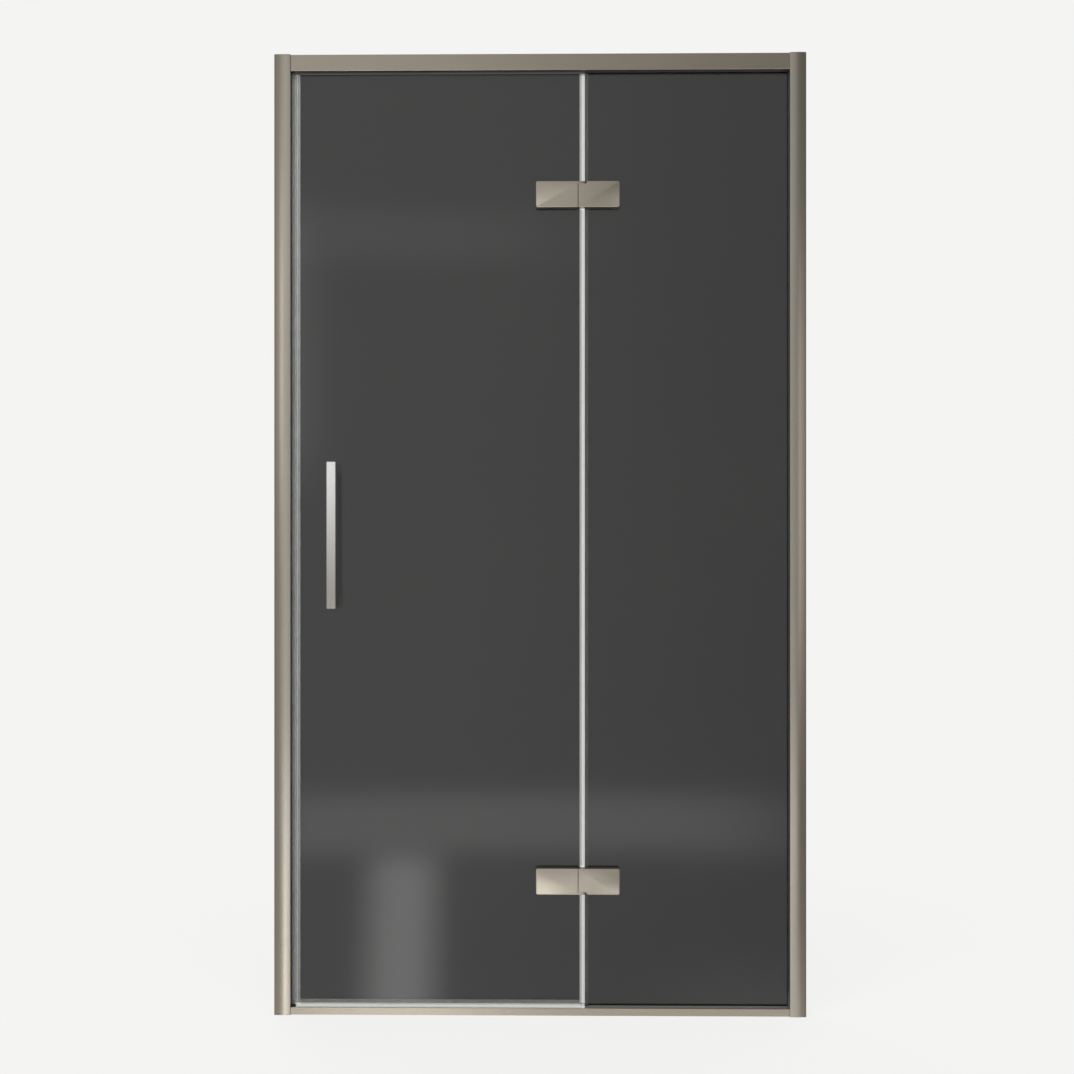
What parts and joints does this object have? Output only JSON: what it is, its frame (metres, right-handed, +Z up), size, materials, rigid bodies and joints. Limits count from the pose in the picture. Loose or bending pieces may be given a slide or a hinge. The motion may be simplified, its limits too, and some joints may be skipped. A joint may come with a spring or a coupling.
{
  "type": "pivot shower door",
  "caption": "Recess shower door: a hinged tinted glass door and a fixed in-line glass pane in a slim metal frame, with bar handle and seals.",
  "frame": {"origin": "underside of the sill, at the middle of the opening's width and at the middle of the glass thickness", "axes": "+X to the right along the opening seen from the room, +Y from the room into the shower, +Z up"},
  "size_m": [1.105, 0.0742, 2],
  "materials": {
    "frame": "warm brushed nickel on extruded aluminium",
    "channel": "satin anodised",
    "hinge": "warm brushed nickel on cast brass",
    "handle": "warm brushed nickel",
    "glass": "dark grey tinted toughened glass, polished",
    "clear_seal": "translucent clear-white extruded seal",
    "magnet": "dark flexible magnet strip",
    "gasket": "black rubber",
    "black_strip": "satin black plastic",
    "clamp_gasket": "grey sheet rubber",
    "nylon": "natural nylon",
    "bush": "bearing plastic",
    "steel": "stainless steel"
  },
  "bodies": {
    "frame": {"corner_screws": "steel", "fixed_pane": "glass", "gap_seal_lower": "clear_seal", "gap_seal_middle": "clear_seal", "gap_seal_upper": "clear_seal", "head_rail": "frame", "head_strip": "frame", "jamb_magnet": "magnet", "jamb_seal": "clear_seal", "left_jamb": "frame", "left_jamb_cap": "frame", "left_wall_channel": "channel", "lower_hinge_bushes": "bush", "lower_hinge_fixed_front_gasket": "clamp_gasket", "lower_hinge_fixed_leaf": "hinge", "lower_hinge_fixed_rear_gasket": "clamp_gasket", "lower_hinge_fixed_rear_plate": "hinge", "lower_hinge_fixed_screws": "steel", "lower_hinge_fixed_sleeves": "nylon", "pane_front_gasket": "gasket", "pane_rear_gasket": "gasket", "right_jamb": "frame", "right_jamb_cap": "frame", "right_wall_channel": "channel", "setting_blocks": "nylon", "side_screws": "steel", "sill": "frame", "strike_strip": "black_strip", "threshold_strip": "frame", "upper_hinge_bushes": "bush", "upper_hinge_fixed_front_gasket": "clamp_gasket", "upper_hinge_fixed_leaf": "hinge", "upper_hinge_fixed_rear_gasket": "clamp_gasket", "upper_hinge_fixed_rear_plate": "hinge", "upper_hinge_fixed_screws": "steel", "upper_hinge_fixed_sleeves": "nylon"},
    "door": {"door_glass": "glass", "door_magnet": "magnet", "door_seal": "clear_seal", "drip_seal": "clear_seal", "handle": "handle", "handle_rear_washers": "nylon", "handle_screws": "steel", "handle_sleeves": "nylon", "handle_washers": "nylon", "lower_hinge_door_front_gasket": "clamp_gasket", "lower_hinge_door_leaf": "hinge", "lower_hinge_door_rear_gasket": "clamp_gasket", "lower_hinge_door_rear_plate": "hinge", "lower_hinge_door_screws": "steel", "lower_hinge_door_sleeves": "nylon", "lower_hinge_pin": "steel", "upper_hinge_door_front_gasket": "clamp_gasket", "upper_hinge_door_leaf": "hinge", "upper_hinge_door_rear_gasket": "clamp_gasket", "upper_hinge_door_rear_plate": "hinge", "upper_hinge_door_screws": "steel", "upper_hinge_door_sleeves": "nylon", "upper_hinge_pin": "steel"}
  },
  "joints": [
    {"name": "door_swing", "type": "hinge", "parent": "frame", "child": "door", "pos_m": [0.089, -0.0135, 1], "axis": [0, 0, 1], "range_deg": [0, 90]}
  ]
}
